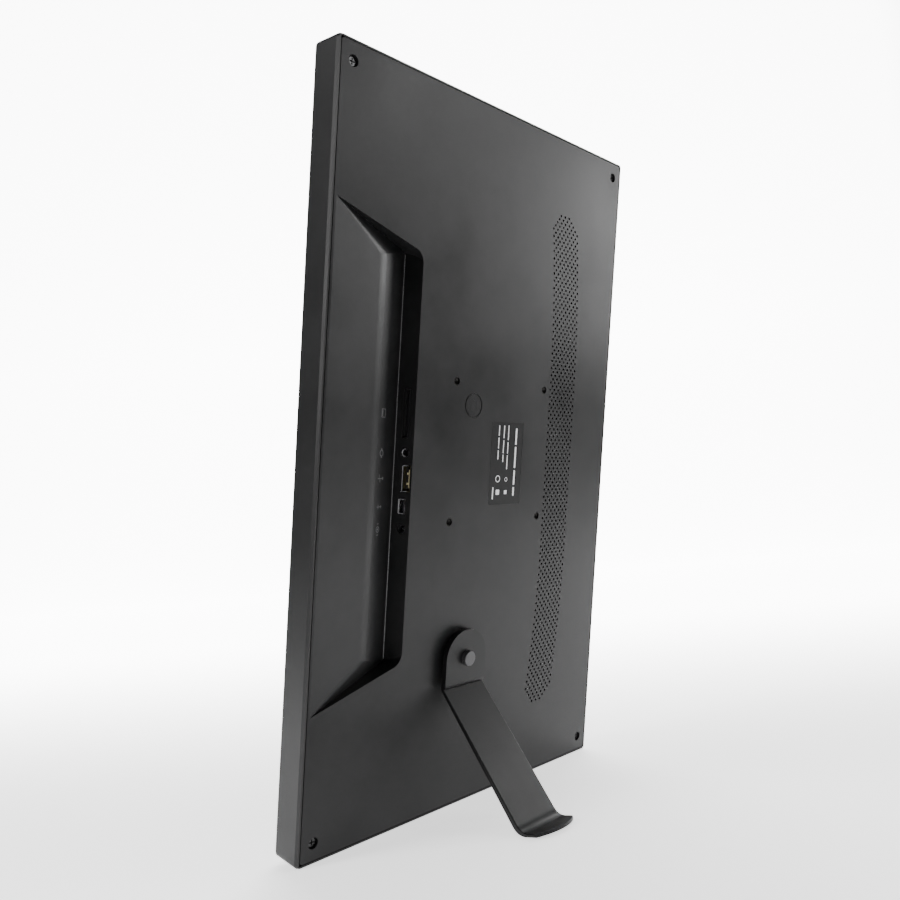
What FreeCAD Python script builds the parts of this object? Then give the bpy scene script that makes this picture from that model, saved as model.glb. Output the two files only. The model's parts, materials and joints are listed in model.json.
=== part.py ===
import FreeCAD, Part
import math
import os

import Sketcher
from FreeCAD import Vector, Placement, Rotation

# Digital photo frame, 15.6 inch screen, standing in portrait on its bent arm stand.
# The panel is drawn upright in its own axes: X to the right as seen from the
# screen, Z up, Y backwards; Y = 0 is the rear plane and a "depth" is measured
# from the rear plane towards the screen.  Every piece then gets the same
# placement, which leans the panel back until its lower rear edge and the foot
# of the stand both rest on z = 0.

doc = FreeCAD.newDocument("photo_frame")
sheet = doc.addObject("Spreadsheet::Sheet", "Sheet")
sheet.Label = "Sheet"

CELLS = [
    # housing
    ("panel_width", 230.2), ("panel_height", 382.4), ("panel_depth", 18.0),
    ("corner_round", 2.6), ("rim_cut_wide", 0.65), ("rim_cut_deep", 1.7),
    ("front_round", 1.6), ("rim_width", 1.5), ("wall_thick", 2.7), ("lip_thick", 1.7),
    ("window_width", 195.6), ("window_height", 346.2),
    ("corner_hole_x", 106.0), ("corner_hole_z", 180.8), ("post_radius", 3.4),
    ("bracket_x", 107.4), ("bracket_z", 140.0),
    # rear cover
    ("cover_gap", 0.5), ("cover_thick", 2.0), ("cover_round", 1.7),
    ("counterbore_radius", 2.75), ("counterbore_depth", 3.0), ("corner_boss_depth", 5.0),
    ("bay_outer_x", 111.9), ("bay_ridge_x", 78.0), ("bay_fold_x", 58.5), ("bay_wall_x", 55.6),
    ("bay_ridge_depth", 4.0), ("bay_fold_depth", 10.8), ("bay_tip_z", 119.8), ("bay_ridge_z", 99.9),
    ("bay_end_slope", 0.2845), ("bay_centre_z", -0.3), ("bay_skin", 1.4), ("bay_ridge_round", 24.0),
    ("bay_corner_round", 7.0),
    ("vesa_pitch", 75.0), ("vesa_x", -11.1), ("vesa_z", 4.3), ("vesa_hole_radius", 2.1),
    ("insert_radius", 2.8), ("insert_bore", 1.65), ("insert_top", 0.9), ("insert_length", 5.0),
    ("badge_x", 12.5), ("badge_z", 29.6), ("badge_radius", 6.8),
    ("label_x", -17.5), ("label_z", -1.9), ("label_width", 27.0), ("label_height", 46.5), ("label_sink", 0.12),
    ("vent_x", -66.35), ("vent_z", -0.5), ("vent_columns", 13), ("vent_column_pitch", 1.95),
    ("vent_bow", 0.00077), ("vent_straight", 48.0),
    ("vent_row_pitch", 4.3), ("vent_rows", 65), ("vent_hole_radius", 0.76),
    # stand
    ("pivot_x", 12.4), ("pivot_z", -107.1), ("arm_width", 30.8), ("arm_thick", 3.0), ("arm_tip_thick", 1.6),
    ("arm_face", 5.5), ("arm_line", -116.1), ("arm_foot_y", 58.3), ("arm_top_round", 4.0),
    ("foot_round", 7.0), ("foot_under_round", 8.0), ("lip_angle", 20.0), ("lip_length", 9.5), ("lip_plan_round", 26.0),
    ("arm_hole_radius", 2.6), ("shank_radius", 2.5), ("knob_radius", 4.0), ("knob_height", 2.8),
    ("spacer_radius", 9.5), ("spacer_thick", 2.45), ("play", 0.05),
    ("stand_insert_radius", 4.0), ("stand_insert_bore", 2.58), ("stand_insert_length", 7.0), ("stand_insert_top", 0.8),
    # screen
    ("screen_back", 12.7), ("screen_front", 15.9), ("screen_width", 205.4), ("screen_height", 350.7),
    ("glass_width", 200.0), ("glass_height", 347.6), ("glass_thick", 1.2),
    # electronics
    ("board_back", 7.0), ("board_thick", 1.6), ("board_left", -8.0), ("board_right", 54.3), ("board_half", 48.0),
    ("board_screw_z", 44.0), ("board_screw_a", -4.0), ("board_screw_b", 50.3),
    ("card_z", 23.1), ("card_depth", 5.7), ("phone_z", 3.1), ("phone_depth", 4.5), ("phone_bore", 1.8),
    ("usb_z", -10.0), ("usb_depth", 3.4), ("mini_z", -24.3), ("mini_depth", 5.0),
    ("power_z", -35.7), ("power_depth", 4.6), ("power_bore", 1.9),
    ("speaker_x", -64.2), ("speaker_z", 97.0),
    ("eye_z", -182.0), ("eye_radius", 2.5),
]
for row, (alias, value) in enumerate(CELLS, start=1):
    sheet.set("A%d" % row, alias)
    sheet.set("B%d" % row, str(value))
    sheet.setAlias("B%d" % row, alias)
doc.recompute()


class Q:
    """A length that keeps its value and the sheet expression that gives it."""

    def __init__(self, v, t):
        self.v, self.t = float(v), t

    @staticmethod
    def of(o):
        return o if isinstance(o, Q) else Q(o, "%.6g" % o if o >= 0 else "(0 - %.6g)" % -o)

    def __add__(self, o):
        o = Q.of(o)
        return Q(self.v + o.v, "(%s + %s)" % (self.t, o.t))

    def __sub__(self, o):
        o = Q.of(o)
        return Q(self.v - o.v, "(%s - %s)" % (self.t, o.t))

    def __rsub__(self, o):
        return Q.of(o) - self

    def __mul__(self, o):
        o = Q.of(o)
        return Q(self.v * o.v, "(%s * %s)" % (self.t, o.t))

    def __truediv__(self, o):
        o = Q.of(o)
        return Q(self.v / o.v, "(%s / %s)" % (self.t, o.t))

    def __neg__(self):
        return Q(-self.v, "(0 - %s)" % self.t)

    __radd__ = __add__
    __rmul__ = __mul__


def c(alias):
    return Q(float(sheet.get(alias)), "Sheet.%s" % alias)


def n(alias):
    return float(sheet.get(alias))


# ---------------------------------------------------------------- helpers
count = {"k": 0}


def fresh(stem):
    count["k"] += 1
    return "%s_%d" % (stem, count["k"])


def new_body(name):
    b = doc.addObject("PartDesign::Body", name)
    b.Label = name
    b.AllowCompound = True
    return b


def sketch(b, depth, role="XZ_Plane"):
    """A sketch parallel to the body's XZ plane at a depth (its local z runs to the screen)."""
    s = b.newObject("Sketcher::SketchObject", fresh(b.Name + "_sketch"))
    plane = [f for f in b.Origin.OriginFeatures if f.Role == role][0]
    s.AttachmentSupport = [(plane, "")]
    s.MapMode = "FlatFace"
    depth = Q.of(depth)
    s.AttachmentOffset = Placement(Vector(0, 0, depth.v), Rotation())
    s.setExpression("AttachmentOffset.Base.z", depth.t)
    return s


def pin(s, kind, geo, pos, q):
    q = Q.of(q)
    i = s.addConstraint(Sketcher.Constraint(kind, -1, 1, geo, pos, q.v))
    s.setExpression("Constraints[%d]" % i, q.t)


def rect(s, x0, z0, x1, z1):
    x0, z0, x1, z1 = (Q.of(k) for k in (x0, z0, x1, z1))
    a, b2, c2, d = (Vector(x0.v, z0.v, 0), Vector(x1.v, z0.v, 0), Vector(x1.v, z1.v, 0), Vector(x0.v, z1.v, 0))
    g = [s.addGeometry(Part.LineSegment(p, q)) for p, q in ((a, b2), (b2, c2), (c2, d), (d, a))]
    for i in range(4):
        s.addConstraint(Sketcher.Constraint("Coincident", g[i], 2, g[(i + 1) % 4], 1))
    for i in (0, 2):
        s.addConstraint(Sketcher.Constraint("Horizontal", g[i]))
    for i in (1, 3):
        s.addConstraint(Sketcher.Constraint("Vertical", g[i]))
    pin(s, "DistanceX", g[0], 1, x0)
    pin(s, "DistanceY", g[0], 1, z0)
    pin(s, "DistanceX", g[2], 1, x1)
    pin(s, "DistanceY", g[2], 1, z1)


def block(s, x, z, w, t):
    """A rectangle of width w and height t centred on x, z."""
    x, z, w, t = (Q.of(k) for k in (x, z, w, t))
    rect(s, x - w / 2, z - t / 2, x + w / 2, z + t / 2)


def circle(s, x, z, r):
    x, z, r = Q.of(x), Q.of(z), Q.of(r)
    g = s.addGeometry(Part.Circle(Vector(x.v, z.v, 0), Vector(0, 0, 1), r.v))
    pin(s, "DistanceX", g, 3, x)
    pin(s, "DistanceY", g, 3, z)
    i = s.addConstraint(Sketcher.Constraint("Radius", g, r.v))
    s.setExpression("Constraints[%d]" % i, r.t)


def pad(b, s, length, to_rear=False):
    f = b.newObject("PartDesign::Pad", fresh(b.Name + "_pad"))
    f.Profile = s
    length = Q.of(length)
    f.Length = length.v
    f.setExpression("Length", length.t)
    f.Reversed = to_rear
    return f


def pocket(b, s, length, to_rear=False):
    """Cuts from the sketch towards the screen, or towards the rear."""
    f = b.newObject("PartDesign::Pocket", fresh(b.Name + "_pocket"))
    f.Profile = s
    length = Q.of(length)
    f.Length = length.v
    f.setExpression("Length", length.t)
    f.Reversed = not to_rear
    return f


def edges_of(feature, test):
    doc.recompute()
    out = []
    for i, e in enumerate(feature.Shape.Edges, start=1):
        if test(e):
            out.append("Edge%d" % i)
    return out


def fillet(b, feature, test, radius):
    names = edges_of(feature, test)
    f = b.newObject("PartDesign::Fillet", fresh(b.Name + "_fillet"))
    f.Base = (feature, names)
    radius = Q.of(radius)
    f.Radius = radius.v
    f.setExpression("Radius", radius.t)
    return f


def is_line(e):
    return e.Curve.TypeId == "Part::GeomLine"


def along_y(e):
    if not is_line(e):
        return False
    d = e.Vertexes[1].Point - e.Vertexes[0].Point
    return abs(d.x) < 1e-6 and abs(d.z) < 1e-6


def at_y(e, y):
    return all(abs(v.Point.y - y) < 1e-6 for v in e.Vertexes)


def outer_edge(e, y, half):
    """An edge in the plane y that runs round the outside of the panel."""
    if not at_y(e, y) or not e.Vertexes:
        return False
    m = e.valueAt((e.FirstParameter + e.LastParameter) / 2)
    return abs(m.x) > half[0] - 3.2 or abs(m.z) > half[1] - 3.2


def feature(name, shape):
    f = doc.addObject("Part::Feature", name)
    f.Label = name
    f.Shape = shape
    return f


def pbox(name, x0, x1, z0, z1, d0, d1):
    """A Part::Box between depths d0 and d1."""
    x0, x1, z0, z1, d0, d1 = (Q.of(k) for k in (x0, x1, z0, z1, d0, d1))
    o = doc.addObject("Part::Box", name)
    for prop, q in (("Length", x1 - x0), ("Width", d1 - d0), ("Height", z1 - z0),
                    ("Placement.Base.x", x0), ("Placement.Base.y", -d1), ("Placement.Base.z", z0)):
        o.setExpression(prop, q.t)
    return o


def pcyl_x(name, x0, x1, z, d, r):
    """A Part::Cylinder along X."""
    x0, x1, z, d, r = (Q.of(k) for k in (x0, x1, z, d, r))
    o = doc.addObject("Part::Cylinder", name)
    o.Placement = Placement(Vector(x0.v, -d.v, z.v), Rotation(Vector(0, 1, 0), 90))
    for prop, q in (("Radius", r), ("Height", x1 - x0), ("Placement.Base.x", x0), ("Placement.Base.y", -d),
                    ("Placement.Base.z", z)):
        o.setExpression(prop, q.t)
    return o


def cut(name, base, tool):
    o = doc.addObject("Part::Cut", name)
    o.Base, o.Tool = base, tool
    o.Label = name
    return o


def fuse(name, shapes):
    o = doc.addObject("Part::MultiFuse", name)
    o.Shapes = shapes
    o.Label = name
    return o


nodes = []


def keep(obj, name):
    obj.Label = name
    nodes.append((name, obj))
    return obj


# ---------------------------------------------------------------- housing
half_w, half_h = c("panel_width") / 2, c("panel_height") / 2
b = new_body("front_housing")
s = sketch(b, 0)
rect(s, -half_w, -half_h, half_w, half_h)
f = pad(b, s, c("panel_depth"))
f = fillet(b, f, along_y, c("corner_round"))
half = (half_w.v, half_h.v)
names = edges_of(f, lambda e: outer_edge(e, -n("panel_depth"), half))
g = b.newObject("PartDesign::Fillet", "front_housing_front_round")
g.Base = (f, names)
g.Radius = n("front_round")
g.setExpression("Radius", c("front_round").t)
names = edges_of(g, lambda e: outer_edge(e, 0, half))
h = b.newObject("PartDesign::Chamfer", "front_housing_rim_cut")
h.Base = (g, names)
h.ChamferType = "Two distances"
h.Size, h.Size2 = n("rim_cut_deep"), n("rim_cut_wide")
h.setExpression("Size", c("rim_cut_deep").t)
h.setExpression("Size2", c("rim_cut_wide").t)
doc.recompute()
probe = h.Shape.section(Part.makePlane(500, 500, Vector(-250, -n("rim_cut_deep") * 0.5, -250), Vector(0, 1, 0)))
if abs(probe.BoundBox.XLength - (2 * half_w.v - n("rim_cut_wide"))) > 0.02:
    h.FlipDirection = True
    doc.recompute()
s = sketch(b, 0)
rect(s, -(half_w - c("rim_width")), -(half_h - c("rim_width")), half_w - c("rim_width"), half_h - c("rim_width"))
pocket(b, s, c("cover_thick"))
s = sketch(b, 0)
rect(s, -(half_w - c("wall_thick")), -(half_h - c("wall_thick")), half_w - c("wall_thick"), half_h - c("wall_thick"))
pocket(b, s, c("panel_depth") - c("lip_thick"))
s = sketch(b, 0)
rect(s, -c("window_width") / 2, -c("window_height") / 2, c("window_width") / 2, c("window_height") / 2)
circle(s, 0, c("eye_z"), c("eye_radius"))
pocket(b, s, c("panel_depth") + 1)
corners = [(sx, sz) for sx in (1, -1) for sz in (1, -1)]
s = sketch(b, c("corner_boss_depth"))
for sx, sz in corners:
    circle(s, sx * c("corner_hole_x"), sz * c("corner_hole_z"), c("post_radius"))
pad(b, s, c("panel_depth") - c("lip_thick") - c("corner_boss_depth"))
s = sketch(b, c("screen_back"))
for sx, sz in corners:
    circle(s, sx * c("bracket_x"), sz * c("bracket_z"), 3.2)
pad(b, s, c("panel_depth") - c("lip_thick") - c("screen_back"))
s = sketch(b, 12.6)
for sx in (1, -1):
    circle(s, sx * Q.of(6.0), c("eye_z"), 1.8)
pad(b, s, c("panel_depth") - c("lip_thick") - 12.6)
s = sketch(b, c("corner_boss_depth"))
for sx, sz in corners:
    circle(s, sx * c("corner_hole_x"), sz * c("corner_hole_z"), 1.27)
pocket(b, s, 9.0)
s = sketch(b, c("screen_back"))
for sx, sz in corners:
    circle(s, sx * c("bracket_x"), sz * c("bracket_z"), 1.02)
pocket(b, s, 3.0)
keep(b, "front_housing")

# ---------------------------------------------------------------- rear cover
cov_w, cov_h = half_w - c("rim_width") - c("cover_gap"), half_h - c("rim_width") - c("cover_gap")
b = new_body("cover_plate")
s = sketch(b, 0)
rect(s, -cov_w, -cov_h, cov_w, cov_h)
f = pad(b, s, c("cover_thick"))
f = fillet(b, f, along_y, c("cover_round"))
vx = [c("vesa_x") + sx * c("vesa_pitch") / 2 for sx in (1, -1)]
vz = [c("vesa_z") + sz * c("vesa_pitch") / 2 for sz in (1, -1)]
vesa = [(x, z) for x in vx for z in vz]
posts = [(c(a), sz * c("board_screw_z")) for a in ("board_screw_a", "board_screw_b") for sz in (1, -1)]
s = sketch(b, c("cover_thick"))
for sx, sz in corners:
    circle(s, sx * c("corner_hole_x"), sz * c("corner_hole_z"), 4.4)
pad(b, s, c("corner_boss_depth") - c("cover_thick"))
s = sketch(b, c("cover_thick"))
for x, z in vesa:
    circle(s, x, z, 4.6)
pad(b, s, c("insert_top") + c("insert_length") + 0.5 - c("cover_thick"))
s = sketch(b, c("cover_thick"))
for x, z in posts:
    circle(s, x, z, 2.9)
pad(b, s, c("board_back") - c("cover_thick"))
s = sketch(b, c("cover_thick"))
circle(s, c("pivot_x"), c("pivot_z"), 7.0)
pad(b, s, c("stand_insert_top") + c("stand_insert_length") + 0.6 - c("cover_thick"))
# stiffening ribs across the lower and upper half of the cover
s = sketch(b, c("cover_thick"))
for z in (-150.0, -75.0, 75.0, 150.0):
    block(s, -5.0, z, 78.0, 1.2)
pad(b, s, 3.5)
# holes: corner screws, wall-mount inserts, stand insert, board posts
s = sketch(b, 0)
for sx, sz in corners:
    circle(s, sx * c("corner_hole_x"), sz * c("corner_hole_z"), c("counterbore_radius"))
pocket(b, s, c("counterbore_depth"))
s = sketch(b, 0)
for sx, sz in corners:
    circle(s, sx * c("corner_hole_x"), sz * c("corner_hole_z"), 1.6)
pocket(b, s, 8.0)
s = sketch(b, 0)
for x, z in vesa:
    circle(s, x, z, c("vesa_hole_radius"))
pocket(b, s, c("insert_top") + 0.05)
s = sketch(b, c("insert_top"))
for x, z in vesa:
    circle(s, x, z, c("insert_radius") + 0.02)
pocket(b, s, c("insert_length") + 0.02)
s = sketch(b, 0)
circle(s, c("pivot_x"), c("pivot_z"), 2.9)
pocket(b, s, c("stand_insert_top") + 0.05)
s = sketch(b, c("stand_insert_top"))
circle(s, c("pivot_x"), c("pivot_z"), c("stand_insert_radius") + 0.02)
pocket(b, s, c("stand_insert_length") + 0.02)
s = sketch(b, c("board_back"))
for x, z in posts:
    circle(s, x, z, 1.22)
pocket(b, s, 4.2, to_rear=True)
# shallow label seat and the round moulded mark
s = sketch(b, 0)
block(s, c("label_x"), c("label_z"), c("label_width") + 0.3, c("label_height") + 0.3)
pocket(b, s, c("label_sink"))
s = sketch(b, 0)
circle(s, c("badge_x"), c("badge_z"), c("badge_radius"))
circle(s, c("badge_x"), c("badge_z"), c("badge_radius") - 0.7)
pocket(b, s, 0.3)
# relief behind the port wall for the tallest socket
s = sketch(b, 0.8)
rect(s, 40.5, c("usb_z") - 7.3, 53.0, c("usb_z") + 7.3)
pocket(b, s, 1.6)
cover_plate = b


def bay_solid(x_out, d_out, x_r, d_r, z_r, x_f, d_f, x_w, tip_z, tip_d, slope, top, ridge_round, fold_round):
    """The bay's space: a prism for the straight stretch, cut off by upright planes
    through the ridge and fold corners, and a cone from each tip to that cut."""
    zc = n("bay_centre_z")
    z_f = tip_z - slope * (x_out - x_f)
    k = (x_w - x_f) / d_f
    P = [Vector(x_out, -top, 0), Vector(x_out, -d_out, 0), Vector(x_r, -d_r, 0), Vector(x_f, -d_f, 0),
         Vector(x_w - k * top, -top, 0)]
    edges = []
    r = ridge_round
    a, m, e = P[1], P[2], P[3]
    if r > 0:
        u, v = (a - m).normalize(), (e - m).normalize()
        ang = math.acos(max(-1, min(1, u.dot(v))))
        t = r / math.tan(ang / 2)
        p1, p2 = m + u * t, m + v * t
        bis = (u + v).normalize()
        cen = m + bis * (r / math.sin(ang / 2))
        mid = cen - bis * r
        edges += [Part.makeLine(P[0], a), Part.makeLine(a, p1), Part.Arc(p1, mid, p2).toShape(), Part.makeLine(p2, e)]
    else:
        edges += [Part.makeLine(P[0], a), Part.makeLine(a, m), Part.makeLine(m, e)]
    edges += [Part.makeLine(e, P[4]), Part.makeLine(P[4], P[0])]
    face = Part.Face(Part.Wire(edges))
    prism = face.extrude(Vector(0, 0, 260))
    prism.translate(Vector(0, 0, -130))
    parts = []
    for sgn in (1, -1):
        # upright plane through the ridge corner and the fold corner
        p, q = Vector(x_r, 0, sgn * z_r), Vector(x_f, 0, sgn * z_f)
        d = (q - p).normalize()
        p0, p1 = p - d * 60, p + d * 60
        far = Part.makePolygon([Vector(p0.x, 40, p0.z), Vector(p1.x, 40, p1.z), Vector(p1.x, 40, sgn * 200),
                                Vector(p0.x, 40, sgn * 200), Vector(p0.x, 40, p0.z)])
        beyond = Part.Face(far).extrude(Vector(0, -80, 0))
        sheet_face = Part.Face(Part.makePolygon([Vector(p0.x, 40, p0.z), Vector(p1.x, 40, p1.z),
                                                 Vector(p1.x, -40, p1.z), Vector(p0.x, -40, p0.z),
                                                 Vector(p0.x, 40, p0.z)]))
        cap = prism.common(sheet_face)
        # the part of the cap on the bay's side of the fold
        lim = Part.makeBox(120, 80, 300, Vector(x_f, -40, -150))
        cap = cap.common(lim)
        w = cap.Faces[0].OuterWire
        apex = Vector(x_out, -tip_d, sgn * tip_z)
        faces = [cap.Faces[0]]
        for ed in w.Edges:
            v0, v1 = ed.valueAt(ed.FirstParameter), ed.valueAt(ed.LastParameter)
            if is_line(ed):
                try:
                    tri = Part.Face(Part.makePolygon([v0, v1, apex, v0]))
                except Exception:
                    continue
                faces.append(tri)
            else:
                faces.append(ruled_to_point(ed, apex))
        parts.append(solid_of(faces))
        prism = prism.cut(beyond)
    out = prism
    for k2 in parts:
        out = out.fuse(k2)
    out.translate(Vector(0, 0, zc))
    return out.removeSplitter()


def ruled_to_point(edge, apex):
    """The cone face between an edge and a point."""
    srf = edge.Curve.toBSpline(edge.FirstParameter, edge.LastParameter)
    poles = srf.getPoles()
    weights = srf.getWeights()
    bs = Part.BSplineSurface()
    kn, mu, deg = srf.getKnots(), srf.getMultiplicities(), srf.Degree
    bs.buildFromPolesMultsKnots([[p, apex] for p in poles], mu, [2, 2], kn, [0.0, 1.0], False, False, deg, 1,
                                [[w, w] for w in weights])
    return bs.toShape()


def solid_of(faces):
    sh = Part.makeShell(faces)
    fixed = sh.copy()
    fixed.sewShape()
    sol = Part.Solid(fixed if fixed.ShapeType == "Shell" else fixed.Shells[0])
    if sol.Volume < 0:
        sol.reverse()
    return sol


sk = n("bay_skin")
slope = n("bay_end_slope")
void = bay_solid(n("bay_outer_x"), 0.0, n("bay_ridge_x"), n("bay_ridge_depth"), n("bay_ridge_z"), n("bay_fold_x"),
                 n("bay_fold_depth"), n("bay_wall_x"), n("bay_tip_z"), 0.0, slope, -1.0, n("bay_ridge_round"), 0.0)
# plan outline with the two rounded corners at the port wall
z_e = n("bay_tip_z") - slope * (n("bay_outer_x") - n("bay_wall_x"))
zc = n("bay_centre_z")


def plan(x_out, x_w, tip_z, grow, r, y0, y1):
    ze = tip_z - slope * (x_out - x_w)
    pts = [Vector(x_out, y0, tip_z + grow + zc), Vector(x_w - grow, y0, ze + grow * 1.0 - slope * grow + zc),
           Vector(x_w - grow, y0, -(ze + grow * 1.0 - slope * grow) + zc), Vector(x_out, y0, -(tip_z + grow) + zc)]
    w = Part.makePolygon(pts + [pts[0]])
    sol = Part.Face(w).extrude(Vector(0, y1 - y0, 0))
    es = [e for e in sol.Edges if along_y(e) and abs(e.Vertexes[0].Point.x - (x_w - grow)) < 1e-6]
    return sol.makeFillet(r, es)


void = void.common(plan(n("bay_outer_x"), n("bay_wall_x"), n("bay_tip_z"), 0.0, n("bay_corner_round"), 5.0, -20.0))
shell = bay_solid(n("bay_outer_x") + 0.9, 1.9, n("bay_ridge_x") - 0.6, n("bay_ridge_depth") + 1.75, n("bay_ridge_z") + 0.6,
                  n("bay_fold_x") - 1.5, n("bay_fold_depth") + sk, n("bay_wall_x") - 1.6, n("bay_tip_z") + 2.2, 1.9,
                  slope, 1.0, 0.0, 0.0)
shell = shell.common(plan(n("bay_outer_x") + 0.9, n("bay_wall_x"), n("bay_tip_z"), 1.7, n("bay_corner_round") + 1.6, 5.0, -20.0))
bay_shell = feature("bay_shell", shell)
bay_void = feature("bay_void", void)
solid_cover = fuse("cover_with_bay", [cover_plate, bay_shell])
open_cover = cut("cover_bay_open", solid_cover, bay_void)

# port openings through the bay wall
ports = [
    pbox("card_slot_cut", 50.0, 62.0, c("card_z") - 12.4, c("card_z") + 12.4, c("card_depth") - 2.65, c("card_depth") + 1.25),
    pcyl_x("phone_cut", 50.0, 62.0, c("phone_z"), c("phone_depth"), 2.42),
    pbox("usb_cut", 50.0, 62.0, c("usb_z") - 6.95, c("usb_z") + 6.95, 0.8, c("usb_depth") + 2.6),
    pbox("mini_cut", 50.0, 62.0, c("mini_z") - 4.0, c("mini_z") + 4.0, c("mini_depth") - 2.0, c("mini_depth") + 2.0),
    pcyl_x("power_cut", 50.0, 62.0, c("power_z"), c("power_depth"), 2.45),
]
port_cuts = fuse("port_cuts", ports)
ported_cover = cut("cover_ported", open_cover, port_cuts)

# staggered ventilation holes; the band is straight in the middle, bends inwards
# towards both ends and is cut back at 45 degrees there
cols, rows = int(n("vent_columns")), int(n("vent_rows"))
half_step = n("vent_row_pitch") / 2
mid_col = (cols - 1) // 2
last_row = rows - 1 + 4
strips = 9
per_strip = math.ceil((2 * last_row + 1) / strips)
band, strip_boxes = [], []
for i in range(strips):
    j0 = -last_row + i * per_strip
    j1 = min(last_row, j0 + per_strip - 1)
    holes = []
    for j in range(j0, j1 + 1):
        away = max(0.0, abs(j * half_step) - n("vent_straight"))
        for k in range(cols):
            if abs(j) > last_row - max(0, abs(k - mid_col) - 2) or (j - last_row - mid_col + k) % 2:
                continue
            x = n("vent_x") + (k - mid_col) * n("vent_column_pitch") + n("vent_bow") * away * away
            holes.append(Part.makeCylinder(n("vent_hole_radius"), n("cover_thick") + 2,
                                           Vector(x, 1.0, n("vent_z") + j * half_step), Vector(0, -1, 0)))
    z_lo = c("vent_z") + c("vent_row_pitch") * ((j0 - 0.5) / 2)
    z_hi = c("vent_z") + c("vent_row_pitch") * ((j1 + 0.5) / 2)
    box = pbox("vent_strip_box_%d" % i, -94.0, -40.0, z_lo, z_hi, -0.5, c("cover_thick") - 0.0)
    strip_boxes.append(box)
    strip = doc.addObject("Part::Common", "vent_strip_%d" % i)
    strip.Base, strip.Tool, strip.Refine = ported_cover, box, False
    holed = cut("vent_grille_%d" % i, strip, feature("vent_cuts_%d" % i, Part.makeCompound(holes)))
    holed.Refine = False
    band.append(holed)
rest = cut("cover_round_vents", ported_cover, fuse("vent_zone", strip_boxes))
rest.Refine = False
whole = fuse("rear_cover", [rest] + band)
whole.Refine = False
keep(whole, "rear_cover")

# ---------------------------------------------------------------- fasteners and inserts
b = new_body("cover_screws")
s = sketch(b, 1.3)
for sx, sz in corners:
    circle(s, sx * c("corner_hole_x"), sz * c("corner_hole_z"), 2.45)
f = pad(b, s, c("counterbore_depth") - 1.3)
f = fillet(b, f, lambda e: at_y(e, -1.3), 0.5)
s = sketch(b, c("counterbore_depth") - 0.2)
for sx, sz in corners:
    circle(s, sx * c("corner_hole_x"), sz * c("corner_hole_z"), 1.25)
pad(b, s, 8.4)
s = sketch(b, 1.25)
for sx, sz in corners:
    block(s, sx * c("corner_hole_x"), sz * c("corner_hole_z"), 2.9, 0.65)
pocket(b, s, 1.05)
s = sketch(b, 1.25)
for sx, sz in corners:
    block(s, sx * c("corner_hole_x"), sz * c("corner_hole_z"), 0.65, 2.9)
pocket(b, s, 1.05)
keep(b, "cover_screws")

b = new_body("vesa_inserts")
s = sketch(b, c("insert_top"))
for x, z in vesa:
    circle(s, x, z, c("insert_radius"))
    circle(s, x, z, c("insert_bore"))
pad(b, s, c("insert_length"))
keep(b, "vesa_inserts")

b = new_body("stand_insert")
s = sketch(b, c("stand_insert_top"))
circle(s, c("pivot_x"), c("pivot_z"), c("stand_insert_radius"))
circle(s, c("pivot_x"), c("pivot_z"), c("stand_insert_bore"))
pad(b, s, c("stand_insert_length"))
keep(b, "stand_insert")

b = new_body("stand_spacer")
s = sketch(b, -c("spacer_thick"))
circle(s, c("pivot_x"), c("pivot_z"), c("spacer_radius"))
circle(s, c("pivot_x"), c("pivot_z"), 2.9)
pad(b, s, c("spacer_thick"))
keep(b, "stand_spacer")

# ---------------------------------------------------------------- stand arm
a45 = math.radians(45.0)
y_face, t_arm, t_tip = n("arm_face"), n("arm_thick"), n("arm_tip_thick")
r_top = n("arm_top_round")
r_foot = n("foot_round")
start = Vector(0, n("arm_foot_y"), n("arm_line") - n("arm_foot_y"))
nrm = Vector(0, math.cos(a45), math.sin(a45))
foot_c = start + nrm * r_foot
lip = math.radians(n("lip_angle"))
lip_dir = Vector(0, math.cos(lip), math.sin(lip))
lip_up = Vector(0, -math.sin(lip), math.cos(lip))


def on(cen, r, a):
    """Point at radius r from cen; a = 0 points down, positive turns towards +Y."""
    return cen + Vector(0, r * math.sin(a), -r * math.cos(a))


z_knee = n("arm_line") - y_face
knee_c = Vector(0, y_face - r_top, z_knee + r_top * math.tan(a45 / 2))
top_z = n("pivot_z") + n("arm_width")
tip = on(foot_c, r_foot, lip) + lip_dir * (n("lip_length") + 1.0)
r_un = n("foot_under_round")
# centre of the underside bend: r_un from the underside line of the strip and of the lip
p_strip = start - nrm * t_arm
p_lip = on(foot_c, r_foot, lip) - lip_up * t_tip
m11, m12, b1 = nrm.y, nrm.z, nrm.y * p_strip.y + nrm.z * p_strip.z + r_un
m21, m22, b2 = lip_up.y, lip_up.z, lip_up.y * p_lip.y + lip_up.z * p_lip.z + r_un
det = m11 * m22 - m12 * m21
under_c = Vector(0, (b1 * m22 - m12 * b2) / det, (m11 * b2 - m21 * b1) / det)
inner_r = max(r_top - t_arm, 0.8)
inner_c = Vector(0, y_face - t_arm - inner_r, 0)
# inner knee: line y = y_face - t_arm and the strip's underside line
line_c = n("arm_line") - t_arm * math.sqrt(2)
z_in = line_c - (y_face - t_arm)
inner_c = Vector(0, y_face - t_arm - inner_r, z_in + inner_r * math.tan(a45 / 2))
o = [Vector(0, y_face, top_z), knee_c + Vector(0, r_top, 0)]
profile = [Part.makeLine(o[0], o[1])]


def arc(cen, r, a0, a1, f=on):
    return Part.Arc(f(cen, r, a0), f(cen, r, (a0 + a1) / 2), f(cen, r, a1)).toShape()


def side(cen, r, a):
    """Point at radius r from cen; a = 0 points to +Y, positive turns downwards."""
    return cen + Vector(0, r * math.cos(a), -r * math.sin(a))


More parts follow.
